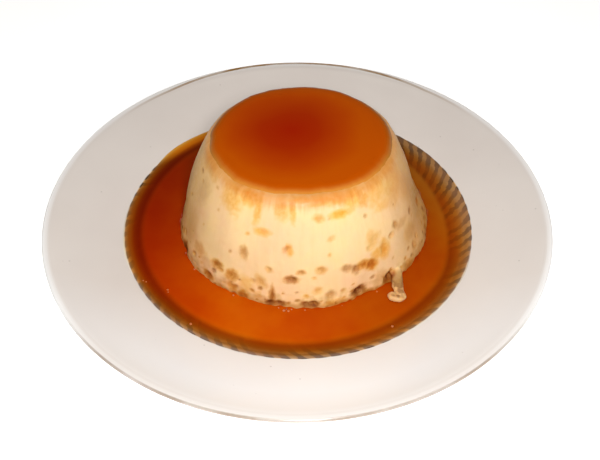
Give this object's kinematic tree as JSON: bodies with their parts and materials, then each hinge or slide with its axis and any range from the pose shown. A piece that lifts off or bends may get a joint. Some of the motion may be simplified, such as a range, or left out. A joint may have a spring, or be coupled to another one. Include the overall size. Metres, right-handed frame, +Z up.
{
  "type": "creme caramel flan on a plate",
  "caption": "Turned-out creme caramel flan with a caramel glaze, standing in a pool of caramel in the well of a round porcelain dessert plate.",
  "frame": {"origin": "on the table under the middle of the plate", "axes": "+Z up, -Y towards the front, where the torn curl of custard lies to the right"},
  "size_m": [0.21, 0.21, 0.0537],
  "materials": {
    "porcelain": "white glazed porcelain with a striped band at the well and a thin brown line on the lip",
    "liquid_caramel": "wet glossy caramel syrup",
    "custard": "moist baked custard",
    "caramel_glaze": "wet glossy caramel"
  },
  "bodies": {
    "root": {"plate": "porcelain", "caramel_pool": "liquid_caramel", "custard": "custard", "caramel_top": "caramel_glaze"}
  },
  "joints": []
}
